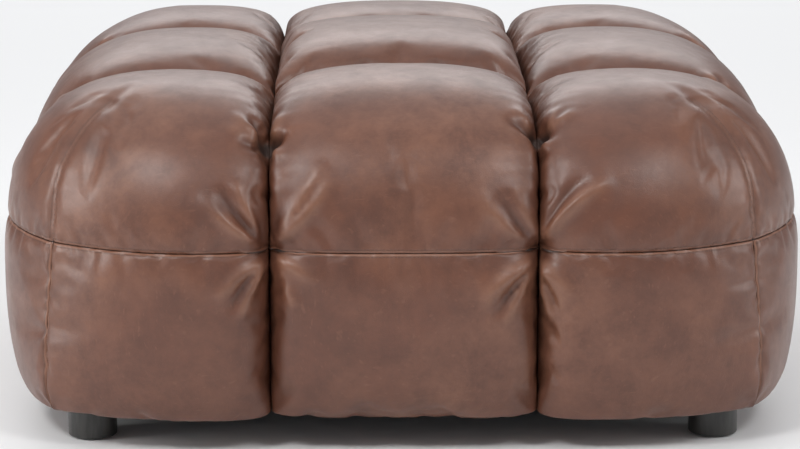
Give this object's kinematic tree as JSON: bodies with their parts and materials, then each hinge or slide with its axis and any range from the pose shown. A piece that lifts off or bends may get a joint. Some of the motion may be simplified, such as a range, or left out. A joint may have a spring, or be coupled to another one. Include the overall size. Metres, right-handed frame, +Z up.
{
  "type": "footstool",
  "caption": "Square leather footstool: three rows of three tufted pillows over lower side panels, on a plywood box with short round black feet.",
  "frame": {"origin": "on the floor, under the middle of the stool", "axes": "+Z up, the front faces -Y, +X to the right as seen from the front"},
  "size_m": [0.9408, 0.9408, 0.424],
  "materials": {
    "leather": "satin",
    "foam": "matte",
    "plywood": "matte",
    "foot_black": "satin",
    "felt": "matte",
    "steel": "satin",
    "dust_cloth": "matte",
    "twine": "matte"
  },
  "bodies": {
    "root": {"back_foam_block": "foam", "back_left_corner_block": "plywood", "back_left_foam_block": "foam", "back_left_foot": "foot_black", "back_left_top_cover": "leather", "back_lower_panel_left": "leather", "back_lower_panel_middle": "leather", "back_lower_panel_right": "leather", "back_pad": "foam", "back_rail": "plywood", "back_right_corner_block": "plywood", "back_right_foam_block": "foam", "back_right_foot": "foot_black", "back_right_top_cover": "leather", "back_top_cover": "leather", "box_screws": "steel", "centre_brace": "plywood", "centre_foam_block": "foam", "centre_top_cover": "leather", "deck_panel": "plywood", "dust_cover": "dust_cloth", "foam_slab": "foam", "foot_bolts": "steel", "foot_glides": "felt", "front_foam_block": "foam", "front_left_corner_block": "plywood", "front_left_foam_block": "foam", "front_left_foot": "foot_black", "front_left_top_cover": "leather", "front_lower_panel_left": "leather", "front_lower_panel_middle": "leather", "front_lower_panel_right": "leather", "front_pad": "foam", "front_rail": "plywood", "front_right_corner_block": "plywood", "front_right_foam_block": "foam", "front_right_foot": "foot_black", "front_right_top_cover": "leather", "front_top_cover": "leather", "left_foam_block": "foam", "left_lower_panel_left": "leather", "left_lower_panel_middle": "leather", "left_lower_panel_right": "leather", "left_pad": "foam", "left_rail": "plywood", "left_top_cover": "leather", "right_foam_block": "foam", "right_lower_panel_left": "leather", "right_lower_panel_middle": "leather", "right_lower_panel_right": "leather", "right_pad": "foam", "right_rail": "plywood", "right_top_cover": "leather", "staples": "steel", "tee_nuts": "steel", "tie_washers": "steel", "tuft_ties": "twine"}
  },
  "joints": []
}
